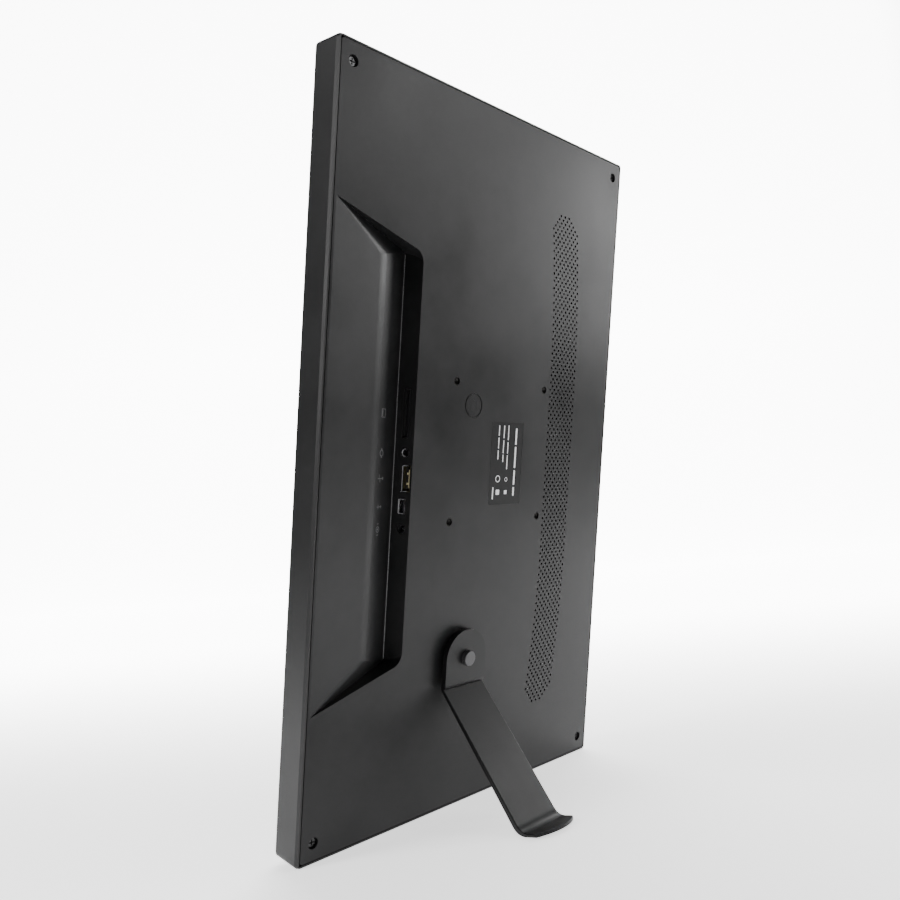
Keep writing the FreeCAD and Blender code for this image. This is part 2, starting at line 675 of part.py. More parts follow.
profile.append(arc(knee_c, r_top, 0, a45, side))
profile.append(Part.makeLine(side(knee_c, r_top, a45), on(foot_c, r_foot, -a45)))
profile.append(arc(foot_c, r_foot, -a45, lip))
profile.append(Part.makeLine(on(foot_c, r_foot, lip), tip))
tip_under = tip - lip_up * t_tip
profile.append(Part.makeLine(tip, tip_under))
profile.append(Part.makeLine(tip_under, on(under_c, r_un, lip)))
profile.append(arc(under_c, r_un, lip, -a45))
profile.append(Part.makeLine(on(under_c, r_un, -a45), side(inner_c, inner_r, a45)))
profile.append(arc(inner_c, inner_r, a45, 0, side))
end_top = Vector(0, y_face - t_arm, top_z)
profile.append(Part.makeLine(side(inner_c, inner_r, 0), end_top))
profile.append(Part.makeLine(end_top, o[0]))
wide = n("arm_width")
px, pz = n("pivot_x"), n("pivot_z")
band = Part.Face(Part.Wire(profile)).extrude(Vector(wide, 0, 0))
band.translate(Vector(px - wide / 2, 0, 0))
# round head
head_zone = Part.makeBox(wide + 2, 20, wide, Vector(px - wide / 2 - 1, -5, pz))
head_disc = Part.makeCylinder(wide / 2, 20, Vector(px, -5, pz), Vector(0, 1, 0))
band = band.cut(head_zone.cut(head_disc))
# rounded end of the lip, seen square to the lip
lip_o = on(foot_c, r_foot, lip)
r_plan = n("lip_plan_round")
cen = lip_o + lip_dir * (n("lip_length") - r_plan)
cyl = Part.makeCylinder(r_plan, 16, Vector(px, cen.y, cen.z) - lip_up * 8, lip_up)
zone = Part.makeBox(wide + 2, 30, 16, Vector(-wide / 2 - 1, 0, -8))
zone.Placement = Placement(Vector(px, lip_o.y, lip_o.z), Rotation(Vector(1, 0, 0), n("lip_angle")))
band = band.cut(zone.cut(cyl))
band = band.cut(Part.makeCylinder(n("arm_hole_radius"), 20, Vector(px, -5, pz), Vector(0, 1, 0)))
edges = []
for e in band.Edges:
    mp = e.valueAt((e.FirstParameter + e.LastParameter) / 2)
    if e.Length > 60 and abs(abs(mp.x - px) - wide / 2) < 1e-4:
        edges.append(e)
arm_shape = band
try:
    arm_shape = band.makeFillet(0.55, edges)
except Exception:
    arm_shape = band
keep(feature("stand_arm", arm_shape.removeSplitter()), "stand_arm")

b = new_body("stand_screw")
s = sketch(b, -(c("arm_face") + c("play") + c("knob_height")))
circle(s, c("pivot_x"), c("pivot_z"), c("knob_radius"))
f = pad(b, s, c("knob_height"))
f = fillet(b, f, lambda e: at_y(e, n("arm_face") + n("play") + n("knob_height")), 0.35)
s = sketch(b, -(c("arm_face") + c("play") + 0.1))
circle(s, c("pivot_x"), c("pivot_z"), c("shank_radius"))
pad(b, s, c("arm_face") + c("play") + 7.3)
keep(b, "stand_screw")

# ---------------------------------------------------------------- screen
b = new_body("lcd_gasket")
s = sketch(b, c("screen_front"))
rect(s, -c("screen_width") / 2, -c("screen_height") / 2, c("screen_width") / 2, c("screen_height") / 2)
rect(s, -(c("window_width") / 2 + 0.6), -(c("window_height") / 2 + 0.6), c("window_width") / 2 + 0.6, c("window_height") / 2 + 0.6)
pad(b, s, c("panel_depth") - c("lip_thick") - c("screen_front"))
keep(b, "lcd_gasket")

b = new_body("lcd_glass")
s = sketch(b, c("screen_front") - c("glass_thick"))
rect(s, -c("glass_width") / 2, -c("glass_height") / 2, c("glass_width") / 2, c("glass_height") / 2)
pad(b, s, c("glass_thick"))
keep(b, "lcd_glass")

b = new_body("lcd_backlight")
s = sketch(b, c("screen_back"))
rect(s, -c("screen_width") / 2, -c("screen_height") / 2, c("screen_width") / 2, c("screen_height") / 2)
pad(b, s, c("screen_front") - c("screen_back"))
s = sketch(b, c("screen_front"))
rect(s, -(c("glass_width") / 2 + 0.1), -(c("glass_height") / 2 + 0.1), c("glass_width") / 2 + 0.1, c("glass_height") / 2 + 0.1)
pocket(b, s, c("glass_thick"), to_rear=True)
keep(b, "lcd_backlight")

b = new_body("lcd_board")
s = sketch(b, 13.6)
rect(s, -111.6, -110.0, -103.1, 110.0)
pad(b, s, 0.8)
s = sketch(b, 11.9)
block(s, -107.4, 20.0, 5.6, 18.0)
pad(b, s, 1.8)
keep(b, "lcd_board")

b = new_body("lcd_brackets")
s = sketch(b, c("screen_back") - 1.0)
for sx, sz in corners:
    block(s, sx * (c("bracket_x") - 3.4), sz * c("bracket_z"), 14.0, 13.0)
pad(b, s, 1.0)
s = sketch(b, c("screen_back") - 1.1)
for sx, sz in corners:
    circle(s, sx * c("bracket_x"), sz * c("bracket_z"), 1.25)
pocket(b, s, 1.3)
keep(b, "lcd_brackets")

b = new_body("bracket_screws")
s = sketch(b, c("screen_back") - 2.3)
for sx, sz in corners:
    circle(s, sx * c("bracket_x"), sz * c("bracket_z"), 2.2)
f = pad(b, s, 1.3)
f = fillet(b, f, lambda e: at_y(e, -(n("screen_back") - 2.3)), 0.4)
s = sketch(b, c("screen_back") - 1.1)
for sx, sz in corners:
    circle(s, sx * c("bracket_x"), sz * c("bracket_z"), 1.0)
pad(b, s, 3.8)
s = sketch(b, c("screen_back") - 2.35)
for sx, sz in corners:
    block(s, sx * c("bracket_x"), sz * c("bracket_z"), 2.4, 0.55)
pocket(b, s, 0.8)
s = sketch(b, c("screen_back") - 2.35)
for sx, sz in corners:
    block(s, sx * c("bracket_x"), sz * c("bracket_z"), 0.55, 2.4)
pocket(b, s, 0.8)
keep(b, "bracket_screws")

# ---------------------------------------------------------------- main board
face_d = c("board_back") + c("board_thick")
b = new_body("main_board")
s = sketch(b, c("board_back"))
rect(s, c("board_left"), -c("board_half"), c("board_right"), c("board_half"))
f = pad(b, s, c("board_thick"))
f = fillet(b, f, along_y, 1.5)
s = sketch(b, c("board_back"))
for x, z in posts:
    circle(s, x, z, 1.5)
pocket(b, s, 3.0)
keep(b, "main_board")

b = new_body("board_screws")
s = sketch(b, face_d)
for x, z in posts:
    circle(s, x, z, 2.4)
f = pad(b, s, 1.4)
f = fillet(b, f, lambda e: at_y(e, -(n("board_back") + n("board_thick") + 1.4)), 0.4)
s = sketch(b, 3.4)
for x, z in posts:
    circle(s, x, z, 1.2)
pad(b, s, face_d - 3.3)
s = sketch(b, face_d + 0.6)
for x, z in posts:
    block(s, x, z, 2.6, 0.6)
pocket(b, s, 1.0)
s = sketch(b, face_d + 0.6)
for x, z in posts:
    block(s, x, z, 0.6, 2.6)
pocket(b, s, 1.0)
keep(b, "board_screws")


def chips(name, depth, high, spots):
    b = new_body(name)
    s = sketch(b, depth)
    for x, z, w, t in spots:
        block(s, x, z, w, t)
    pad(b, s, high)
    return keep(b, name)


chips("main_chip", face_d, 1.2, [(18.0, 2.0, 15.0, 15.0)])
b = new_body("chip_heat_sink")
s = sketch(b, face_d + 1.2)
block(s, 18.0, 2.0, 19.0, 19.0)
pad(b, s, 0.8)
s = sketch(b, face_d + 2.0)
for i in range(6):
    block(s, 18.0, 2.0 + (i - 2.5) * 3.5, 19.0, 1.0)
pad(b, s, 1.4)
keep(b, "chip_heat_sink")
chips("memory_chips", face_d, 1.0, [(18.0, 22.0, 11.0, 8.0), (0.0, 6.0, 6.0, 8.0)])
chips("power_inductors", face_d, 3.0, [(34.0, -26.0, 6.0, 6.0), (34.0, -35.0, 6.0, 6.0)])
chips("board_connectors", face_d, 1.9, [(-3.0, 24.0, 5.0, 16.5), (-4.5, -31.0, 5.0, 6.0), (12.0, -44.0, 6.0, 5.0)])
b = new_body("board_capacitors")
s = sketch(b, face_d)
for x, z in ((44.0, -30.0), (44.0, -36.5), (25.0, -40.0), (40.0, 30.0)):
    circle(s, x, z, 2.1)
f = pad(b, s, 3.2)
fillet(b, f, lambda e: at_y(e, -(n("board_back") + n("board_thick") + 3.2)), 0.3)
keep(b, "board_capacitors")

# ---------------------------------------------------------------- sockets along the port wall
z, d = c("card_z"), c("card_depth")
keep(cut("card_socket", fuse("card_solid", [pbox("card_body", 28.0, 53.6, z - 13.4, z + 13.4, d - 2.55, d + 1.2),
                                            pbox("card_nose", 53.0, 56.3, z - 12.35, z + 12.35, d - 2.6, d + 1.2)]),
         pbox("card_space", 30.5, 60.0, z - 12.1, z + 12.1, d - 1.2, d + 1.0)), "card_socket")
z, d = c("phone_z"), c("phone_depth")
keep(cut("headphone_jack", fuse("phone_solid", [pbox("phone_body", 42.5, 53.8, z - 3.2, z + 3.2, d - 2.4, d + 2.5),
                                                pcyl_x("phone_nose", 53.0, 56.6, z, d, 2.34)]),
         pcyl_x("phone_bore_cut", 43.6, 60.0, z, d, c("phone_bore"))), "headphone_jack")
z, d = c("usb_z"), c("usb_depth")
keep(cut("usb_shell", pbox("usb_body", 41.5, 56.0, z - 6.75, z + 6.75, d - 2.5, d + 2.5),
         pbox("usb_space", 42.2, 60.0, z - 6.4, z + 6.4, d - 2.2, d + 2.2)), "usb_shell")
keep(fuse("usb_tongue", [pbox("usb_back", 42.2, 44.6, z - 6.35, z + 6.35, d - 2.15, d + 2.15),
                         pbox("usb_blade", 44.6, 54.6, z - 5.55, z + 5.55, d + 0.3, d + 2.1)]), "usb_tongue")
z, d = c("mini_z"), c("mini_depth")
keep(cut("mini_usb_shell", pbox("mini_body", 47.5, 56.7, z - 3.85, z + 3.85, d - 1.95, d + 1.95),
         pbox("mini_space", 48.0, 60.0, z - 3.45, z + 3.45, d - 1.6, d + 1.6)), "mini_usb_shell")
keep(fuse("mini_usb_tongue", [pbox("mini_back", 48.0, 49.4, z - 3.4, z + 3.4, d - 1.55, d + 1.55),
                              pbox("mini_blade", 49.4, 55.6, z - 2.3, z + 2.3, d - 0.5, d + 0.35)]), "mini_usb_tongue")
z, d = c("power_z"), c("power_depth")
keep(cut("power_jack", fuse("power_solid", [pbox("power_body", 43.0, 53.8, z - 3.4, z + 3.4, d - 2.45, d + 2.4),
                                            pcyl_x("power_nose", 53.0, 56.5, z, d, 2.4)]),
         pcyl_x("power_bore_cut", 46.5, 60.0, z, d, c("power_bore"))), "power_jack")
keep(fuse("power_pin", [pcyl_x("power_pin_core", 46.5, 55.0, z, d, 0.65), pcyl_x("power_pin_tip", 54.5, 55.6, z, d, 0.45)]), "power_pin")

# ---------------------------------------------------------------- speakers behind the vents
b = new_body("speaker_frames")
s = sketch(b, c("cover_thick"))
for sz in (1, -1):
    block(s, c("speaker_x"), sz * c("speaker_z"), 26.0, 40.0)
f = pad(b, s, 5.0)
f = fillet(b, f, along_y, 3.0)
s = sketch(b, c("cover_thick"))
for sz in (1, -1):
    circle(s, c("speaker_x"), sz * c("speaker_z"), 11.5)
pocket(b, s, 4.0)
s = sketch(b, c("cover_thick"))
for sz in (1, -1):
    circle(s, c("speaker_x"), sz * c("speaker_z"), 7.6)
pocket(b, s, 6.0)
keep(b, "speaker_frames")

b = new_body("speaker_cones")
s = sketch(b, 4.6)
for sz in (1, -1):
    circle(s, c("speaker_x"), sz * c("speaker_z"), 11.3)
pad(b, s, 0.5)
s = sketch(b, 3.6)
for sz in (1, -1):
    circle(s, c("speaker_x"), sz * c("speaker_z"), 4.5)
f = pad(b, s, 1.1)
fillet(b, f, lambda e: at_y(e, -3.6), 0.9)
keep(b, "speaker_cones")

b = new_body("speaker_magnets")
s = sketch(b, 5.3)
for sz in (1, -1):
    circle(s, c("speaker_x"), sz * c("speaker_z"), 7.4)
f = pad(b, s, 5.2)
fillet(b, f, lambda e: at_y(e, -10.5), 0.6)
keep(b, "speaker_magnets")


def run(points, r, bend):
    """A round lead: straight runs joined by tangent arcs."""
    pts = [Vector(x, -d, z) for x, z, d in points]
    es, last = [], pts[0]
    for i in range(1, len(pts) - 1):
        p, m, q = pts[i - 1], pts[i], pts[i + 1]
        u, v = (p - m).normalize(), (q - m).normalize()
        ang = math.acos(max(-1, min(1, u.dot(v))))
        t = bend / math.tan(ang / 2)
        a, e = m + u * t, m + v * t
        bis = (u + v).normalize()
        mid = m + bis * (bend / math.sin(ang / 2) - bend)
        es += [Part.makeLine(last, a), Part.Arc(a, mid, e).toShape()]
        last = e
    es.append(Part.makeLine(last, pts[-1]))
    w = Part.Wire(es)
    d0 = (pts[1] - pts[0]).normalize()
    prof = Part.Wire(Part.makeCircle(r, pts[0], d0))
    tube = w.makePipeShell([prof], True, False)
    return tube if tube.ShapeType == "Solid" else tube.Solids[0]


leads = []
sx0, sz0 = n("speaker_x") + 5.0, -(n("speaker_z") - 20.1)
for off in (0.0, 1.5):
    leads.append(run([(sx0 + off, sz0, 7.9), (sx0 + off, sz0 + 14.0, 9.4), (-22.0 + off, -31.75 + off, 9.6),
                      (-7.3, -31.75 + off, 9.6)], 0.5, 4.0))
    leads.append(run([(sx0 + off, -sz0, 7.9), (sx0 + off, 44.0, 8.6), (-16.0 + off, 34.0, 8.3), (-16.0 + off, -18.0, 8.3),
                      (-15.0 + off, -28.6 + off, 9.4), (-7.3, -29.0 + off, 9.6)], 0.5, 3.0))
keep(feature("speaker_leads", Part.makeCompound(leads)), "speaker_leads")

ribbon_pts = [(-5.6, 9.0), (-10.0, 9.0), (-24.0, 12.35), (-104.6, 12.35), (-104.6, 12.65), (-23.9, 12.65), (-9.9, 9.3), (-5.6, 9.3)]
rib = Part.Face(Part.makePolygon([Vector(x, -d, 13.0) for x, d in ribbon_pts + ribbon_pts[:1]])).extrude(Vector(0, 0, 14.0))
keep(feature("display_cable", rib), "display_cable")

# ---------------------------------------------------------------- remote-control eye in the front lip
b = new_body("eye_board")
s = sketch(b, 11.6)
block(s, 0, c("eye_z"), 17.0, 8.4)
pad(b, s, 1.0)
keep(b, "eye_board")
b = new_body("eye_receiver")
s = sketch(b, 12.6)
block(s, 0, c("eye_z"), 6.0, 6.4)
f = pad(b, s, 2.6)
s = sketch(b, 15.1)
circle(s, 0, c("eye_z"), 1.9)
f = pad(b, s, 1.1)
fillet(b, f, lambda e: at_y(e, -16.2), 0.8)
keep(b, "eye_receiver")
b = new_body("eye_window")
s = sketch(b, c("panel_depth") - c("lip_thick"))
circle(s, 0, c("eye_z"), c("eye_radius") - 0.02)
pad(b, s, c("lip_thick"))
keep(b, "eye_window")
keep(feature("eye_lead", run([(2.0, -177.4, 11.0), (2.0, -150.0, 10.6), (12.0, -90.0, 10.4), (12.0, -47.0, 9.8)], 0.8, 12.0)), "eye_lead")

b = new_body("rating_label")
s = sketch(b, 0.02)
block(s, c("label_x"), c("label_z"), c("label_width"), c("label_height"))
f = pad(b, s, c("label_sink") - 0.02)
fillet(b, f, along_y, 1.2)
keep(b, "rating_label")

# ---------------------------------------------------------------- standing pose
# The lean that puts the rim's lower edge and the foot's underside on one floor.
rim_y, rim_z = -n("rim_cut_deep"), -half_h.v
rim_y2, rim_z2 = 0.0, -half_h.v + n("rim_cut_wide")


def height(y, z, a):
    return -y * math.sin(a) + z * math.cos(a)


lo, hi = math.radians(2), math.radians(25)
for _ in range(60):
    mid = (lo + hi) / 2
    rim = min(height(rim_y, rim_z, mid), height(rim_y2, rim_z2, mid))
    foot = height(under_c.y, under_c.z, mid) - r_un
    if foot > rim:
        lo = mid
    else:
        hi = mid
lean = (lo + hi) / 2
tilt = Placement(Vector(0, 0, 0), Rotation(Vector(1, 0, 0), -math.degrees(lean)))

failed = []
doc.recompute()
for o in doc.Objects:
    if "Invalid" in o.State or "Error" in o.State:
        failed.append(o.Name)
box = FreeCAD.BoundBox()
for name, obj in nodes:
    sh = obj.Shape
    if sh.isNull() or not sh.isValid() or sh.Volume <= 0:
        failed.append(name + " (shape)")
        continue
    leaned = sh.copy()
    leaned.Placement = tilt.multiply(leaned.Placement)
    if name in ("front_housing", "stand_arm"):
        box.add(leaned.optimalBoundingBox(False, False))
if failed:
    raise RuntimeError("failed: %s" % ", ".join(failed))
shift = Vector(0, -(box.YMin + box.YMax) / 2, r_un - height(under_c.y, under_c.z, lean))
pose = doc.addObject("Spreadsheet::Sheet", "Pose")
pose.Label = "Pose"
for row, (alias, value) in enumerate((("lean_deg", math.degrees(lean)), ("shift_y", shift.y), ("shift_z", shift.z)), start=1):
    pose.set("A%d" % row, alias)
    pose.set("B%d" % row, "%.6f" % value)
    pose.setAlias("B%d" % row, alias)
doc.recompute()
lean_deg, shift_y, shift_z = (float(pose.get(a)) for a in ("lean_deg", "shift_y", "shift_z"))
stand = Placement(Vector(0, shift_y, shift_z), Rotation(Vector(1, 0, 0), -lean_deg))

for name, obj in nodes:
    obj.Placement = stand.multiply(obj.Placement)
doc.recompute()
for o in doc.Objects:
    if "Invalid" in o.State or "Error" in o.State:
        raise RuntimeError("failed: %s" % o.Name)
os.makedirs("parts", exist_ok=True)
for old in os.listdir("parts"):
    if old.endswith(".step"):
        os.remove(os.path.join("parts", old))
for name, obj in nodes:
    sh = obj.Shape
    if sh.isNull() or not sh.isValid():
        raise RuntimeError("bad shape: %s" % name)
    sh.exportStep("parts/%s.step" % name)
    print("%-18s solids %2d  volume %10.1f  box x %.2f..%.2f y %.2f..%.2f z %.2f..%.2f" % (
        name, len(sh.Solids), sh.Volume, sh.BoundBox.XMin, sh.BoundBox.XMax, sh.BoundBox.YMin, sh.BoundBox.YMax,
        sh.BoundBox.ZMin, sh.BoundBox.ZMax))
print("lean %.4f shift_y %.4f shift_z %.4f box x %.3f" % (lean_deg, shift_y, shift_z, shift.x))


def world(x, y, z):
    return stand.multVec(Vector(x, y, z))


for label, p in (("pivot", world(px, 0, pz)), ("vesa", world(n("vesa_x"), 0, n("vesa_z"))),
                 ("phone", world(56.6, -n("phone_depth"), n("phone_z")))):
    print(label, [round(k / 1000, 6) for k in p])
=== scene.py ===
import json
import math

import bmesh
import bpy
from mathutils import Matrix, Vector


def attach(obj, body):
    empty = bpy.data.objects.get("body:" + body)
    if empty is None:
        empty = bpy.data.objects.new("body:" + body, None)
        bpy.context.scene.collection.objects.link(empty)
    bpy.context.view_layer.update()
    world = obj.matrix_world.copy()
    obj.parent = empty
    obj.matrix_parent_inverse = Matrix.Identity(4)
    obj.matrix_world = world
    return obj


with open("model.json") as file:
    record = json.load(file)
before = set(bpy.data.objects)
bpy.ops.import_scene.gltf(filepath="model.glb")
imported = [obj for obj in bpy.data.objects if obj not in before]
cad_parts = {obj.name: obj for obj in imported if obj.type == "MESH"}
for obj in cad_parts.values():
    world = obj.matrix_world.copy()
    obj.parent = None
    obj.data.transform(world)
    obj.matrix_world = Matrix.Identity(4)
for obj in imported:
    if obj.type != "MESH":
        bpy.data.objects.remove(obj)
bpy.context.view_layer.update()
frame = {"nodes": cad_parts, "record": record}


# ------------------------------------------------------------------ the panel's own axes
PIVOT_X, PIVOT_Z = 12.4, -107.1
turn = [j for j in frame["record"]["behaviour"]["joints"] if j["name"] == "stand_turn"][0]
LEAN = math.atan2(-turn["axis"][2], turn["axis"][1])
CO, SI = math.cos(LEAN), math.sin(LEAN)
TY = turn["pos_m"][1] * 1000.0 - PIVOT_Z * SI
TZ = turn["pos_m"][2] * 1000.0 - PIVOT_Z * CO


def W(x, y, z):
    """Panel millimetres to row-frame metres."""
    return Vector((x, y * CO + z * SI + TY, -y * SI + z * CO + TZ)) / 1000.0


def D(x, y, z):
    return Vector((x, y * CO + z * SI, -y * SI + z * CO))


nodes = frame["nodes"]


# ------------------------------------------------------------------ materials
def material(name, color, rough, *, metal=0.0, grain=0.0, grain_size=0.35, spread=0.12, rough_spread=0.06, smudge=0.05,
             coat=0.0, coat_rough=0.2, stretch=None, ior=1.5, dust=0.0, alpha=None, spec=None):
    """A procedural surface: mottled colour, wandering roughness and a fine moulded grain."""
    m = bpy.data.materials.new(name)
    m.use_nodes = True
    nt = m.node_tree
    bs = nt.nodes["Principled BSDF"]
    tc = nt.nodes.new("ShaderNodeTexCoord")
    mp = nt.nodes.new("ShaderNodeMapping")
    nt.links.new(tc.outputs["Object"], mp.inputs["Vector"])
    if stretch:
        mp.inputs["Scale"].default_value = stretch

    def noise(scale, detail=4.0, rgh=0.55):
        n = nt.nodes.new("ShaderNodeTexNoise")
        n.inputs["Scale"].default_value = scale
        n.inputs["Detail"].default_value = detail
        n.inputs["Roughness"].default_value = rgh
        nt.links.new(mp.outputs["Vector"], n.inputs["Vector"])
        return n

    def ranged(n, lo, hi, a=0.3, b=0.7):
        r = nt.nodes.new("ShaderNodeMapRange")
        r.inputs["From Min"].default_value = a
        r.inputs["From Max"].default_value = b
        r.inputs["To Min"].default_value = lo
        r.inputs["To Max"].default_value = hi
        nt.links.new(n.outputs["Fac"], r.inputs["Value"])
        return r

    fine, broad = noise(1000.0 / max(grain_size, 0.05) * 0.6, 3.0), noise(22.0, 5.0)
    ramp = nt.nodes.new("ShaderNodeValToRGB")
    e = ramp.color_ramp.elements
    e[0].position, e[1].position = 0.32, 0.68
    e[0].color = (*[max(0.0, k * (1 - spread)) for k in color], 1)
    e[1].color = (*[min(1.0, k * (1 + spread)) for k in color], 1)
    nt.links.new(fine.outputs["Fac"], ramp.inputs["Fac"])
    tone = nt.nodes.new("ShaderNodeMix")
    tone.data_type = "RGBA"
    tone.blend_type = "MIX"
    tone.inputs[7].default_value = (*[min(1.0, k * (1 + 2.2 * dust) + 0.05 * dust) for k in color], 1)
    nt.links.new(ranged(broad, 0.0, 0.5).outputs["Result"], tone.inputs[0])
    nt.links.new(ramp.outputs["Color"], tone.inputs[6])
    nt.links.new(tone.outputs[2], bs.inputs["Base Color"])
    add = nt.nodes.new("ShaderNodeMath")
    add.operation = "ADD"
    add.use_clamp = True
    nt.links.new(ranged(fine, rough - rough_spread, rough + rough_spread).outputs["Result"], add.inputs[0])
    nt.links.new(ranged(broad, -smudge, smudge).outputs["Result"], add.inputs[1])
    nt.links.new(add.outputs[0], bs.inputs["Roughness"])
    bs.inputs["Metallic"].default_value = metal
    bs.inputs["IOR"].default_value = ior
    bs.inputs["Coat Weight"].default_value = coat
    bs.inputs["Coat Roughness"].default_value = coat_rough
    if spec is not None:
        bs.inputs["Specular IOR Level"].default_value = spec
    if alpha is not None:
        bs.inputs["Alpha"].default_value = alpha
    if grain:
        bump = nt.nodes.new("ShaderNodeBump")
        bump.inputs["Strength"].default_value = grain
        bump.inputs["Distance"].default_value = 0.00006
        nt.links.new(fine.outputs["Fac"], bump.inputs["Height"])
        nt.links.new(bump.outputs["Normal"], bs.inputs["Normal"])
    return m


M = {
    "housing_black": material("housing_black", (0.0075, 0.0075, 0.0079), 0.40, spec=0.30, grain=0.35, grain_size=0.30),
    "cover_black": material("cover_black", (0.0045, 0.0045, 0.0048), 0.39, spec=0.19, grain=0.45, grain_size=0.32, dust=0.25),
    "stand_black": material("stand_black", (0.0048, 0.0048, 0.0051), 0.42, spec=0.20, grain=0.22, grain_size=0.22),
    # ridge: a light grey that paints the highlight along the bay's fold
    "ridge": material("ridge", (0.090, 0.090, 0.093), 0.30, spread=0.1, grain=0.1),
    "screw_black": material("screw_black", (0.042, 0.042, 0.044), 0.50, grain=0.9, grain_size=0.5, metal=0.25),
    "steel": material("steel", (0.55, 0.55, 0.56), 0.28, metal=1.0, grain=0.2, stretch=(1, 1, 0.12)),
    "contact_metal": material("contact_metal", (0.50, 0.46, 0.24), 0.34, metal=1.0, grain=0.2, spread=0.2),
    "black_insert": material("black_insert", (0.035, 0.034, 0.033), 0.38, metal=1.0, grain=0.3),
    "screen_glass": material("screen_glass", (0.004, 0.004, 0.005), 0.14, spec=0.10, grain=0.06, grain_size=0.15),
    "board_green": material("board_green", (0.012, 0.075, 0.030), 0.36, coat=0.4, spread=0.35, grain=0.3, grain_size=1.4),
    "chip_black": material("chip_black", (0.012, 0.012, 0.012), 0.55, grain=0.4),
    "heatsink_alu": material("heatsink_alu", (0.60, 0.61, 0.62), 0.38, metal=1.0, grain=0.3, stretch=(0.1, 1, 1)),
    "capacitor_alu": material("capacitor_alu", (0.70, 0.70, 0.71), 0.25, metal=1.0, grain=0.15),
    "socket_black": material("socket_black", (0.009, 0.009, 0.010), 0.42, grain=0.2),
    "speaker_black": material("speaker_black", (0.011, 0.011, 0.012), 0.50, grain=0.4),
    "cone_paper": material("cone_paper", (0.018, 0.018, 0.019), 0.82, grain=0.9, grain_size=0.6, spread=0.25),
    "magnet_steel": material("magnet_steel", (0.40, 0.41, 0.42), 0.30, metal=1.0, grain=0.2),
    "gasket_foam": material("gasket_foam", (0.008, 0.008, 0.008), 0.90, grain=1.0, grain_size=0.5),
    "cable_grey": material("cable_grey", (0.16, 0.16, 0.17), 0.45, stretch=(0.05, 1, 3), spread=0.3, grain=0.4, grain_size=1.0),
    "lead_black": material("lead_black", (0.010, 0.010, 0.011), 0.40, grain=0.2),
    "window_dark": material("window_dark", (0.020, 0.004, 0.006), 0.12, coat=1.0, coat_rough=0.06),
    "label_black": material("label_black", (0.0040, 0.0040, 0.0043), 0.42, spec=0.16, grain=0.25, grain_size=0.5),
}
ink = material("label_ink", (0.62, 0.62, 0.63), 0.55, spread=0.25, grain=0.2)
# sunk_screw_shaded: a darker copy of the screw black for the four cover screws, partly their black finish and partly
# painted shade of their counterbores
sunk_shaded = material("sunk_screw_shaded", (0.030, 0.030, 0.031), 0.26, metal=0.6, grain=0.3)
# slot_steel_shaded: near-black steel for the card socket, painted shade inside the card slot
slot_steel_shaded = material("slot_steel_shaded", (0.030, 0.030, 0.031), 0.50, metal=0.5, grain=0.2)
port_shell = material("port_shell", (0.20, 0.18, 0.10), 0.36, metal=1.0, grain=0.2, spread=0.2)
mark = material("port_ink", (0.070, 0.070, 0.072), 0.50, spread=0.2, grain=0.2)
gold = material("contact_gold", (0.80, 0.72, 0.46), 0.42, metal=0.35, spread=0.1)
bright = material("bright_plate", (0.34, 0.34, 0.35), 0.42, metal=0.35, spread=0.1)

slots = {s["node"]: s["material_slot"] for s in frame["record"]["subparts"]}
for name, obj in nodes.items():
    obj.data.materials.clear()
    obj.data.materials.append({"cover_screws": sunk_shaded, "card_socket": slot_steel_shaded, "usb_shell": port_shell}.get(name, M[slots[name]]))


# ------------------------------------------------------------------ small modelled detail
def mesh_object(name, verts, faces, mat, body):
    me = bpy.data.meshes.new(name)
    me.from_pydata([tuple(v) for v in verts], [], faces)
    me.validate()
    bm = bmesh.new()
    bm.from_mesh(me)
    bmesh.ops.recalc_face_normals(bm, faces=bm.faces)
    bm.to_mesh(me)
    bm.free()
    o = bpy.data.objects.new(name, me)
    bpy.context.scene.collection.objects.link(o)
    me.materials.append(mat)
    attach(o, body)
    return o


class Pile:
    """Collects small solids that end up as one object."""

    def __init__(self):
        self.v, self.f = [], []

    def prism(self, lower, upper):
        k, n = len(self.v), len(lower)
        self.v += list(lower) + list(upper)
        self.f += [tuple(k + i for i in range(n))[::-1], tuple(k + n + i for i in range(n))]
        self.f += [(k + i, k + (i + 1) % n, k + n + (i + 1) % n, k + n + i) for i in range(n)]

    def ring(self, lo_in, lo_out, up_in, up_out):
        k, n = len(self.v), len(lo_in)
        self.v += list(lo_in) + list(lo_out) + list(up_in) + list(up_out)
        for i in range(n):
            j = (i + 1) % n
            self.f += [(k + i, k + j, k + n + j, k + n + i), (k + 2 * n + i, k + 3 * n + i, k + 3 * n + j, k + 2 * n + j),
                       (k + i, k + 2 * n + i, k + 2 * n + j, k + j), (k + n + i, k + n + j, k + 3 * n + j, k + 3 * n + i)]


def flat(pile, place, pts, low, high):
    """A thin plate: outline points (u, v) put in space by place(u, v, height)."""
    pile.prism([place(u, v, low) for u, v in pts], [place(u, v, high) for u, v in pts])


def bar(u, v, w, h):
    return [(u - w / 2, v - h / 2), (u + w / 2, v - h / 2), (u + w / 2, v + h / 2), (u - w / 2, v + h / 2)]


def rounded(u, v, w, h, r, n=5):
    out = []
    for cx, cy, a0 in ((u + w / 2 - r, v + h / 2 - r, 0), (u - w / 2 + r, v + h / 2 - r, 90),
                       (u - w / 2 + r, v - h / 2 + r, 180), (u + w / 2 - r, v - h / 2 + r, 270)):
        for i in range(n + 1):
            a = math.radians(a0 + 90 * i / n)
            out.append((cx + r * math.cos(a), cy + r * math.sin(a)))
    return out


def disc(u, v, r, n=28):
    return [(u + r * math.cos(2 * math.pi * i / n), v + r * math.sin(2 * math.pi * i / n)) for i in range(n)]


def hoop(pile, place, u, v, r0, r1, low, high, n=36):
    a, b = disc(u, v, r0, n), disc(u, v, r1, n)
    pile.ring([place(*p, low) for p in a], [place(*p, low) for p in b], [place(*p, high) for p in a], [place(*p, high) for p in b])


def on_back(u, v, h):
    """On the label and the cover: u = X, v = Z, h outwards."""
    return W(u, h, v)


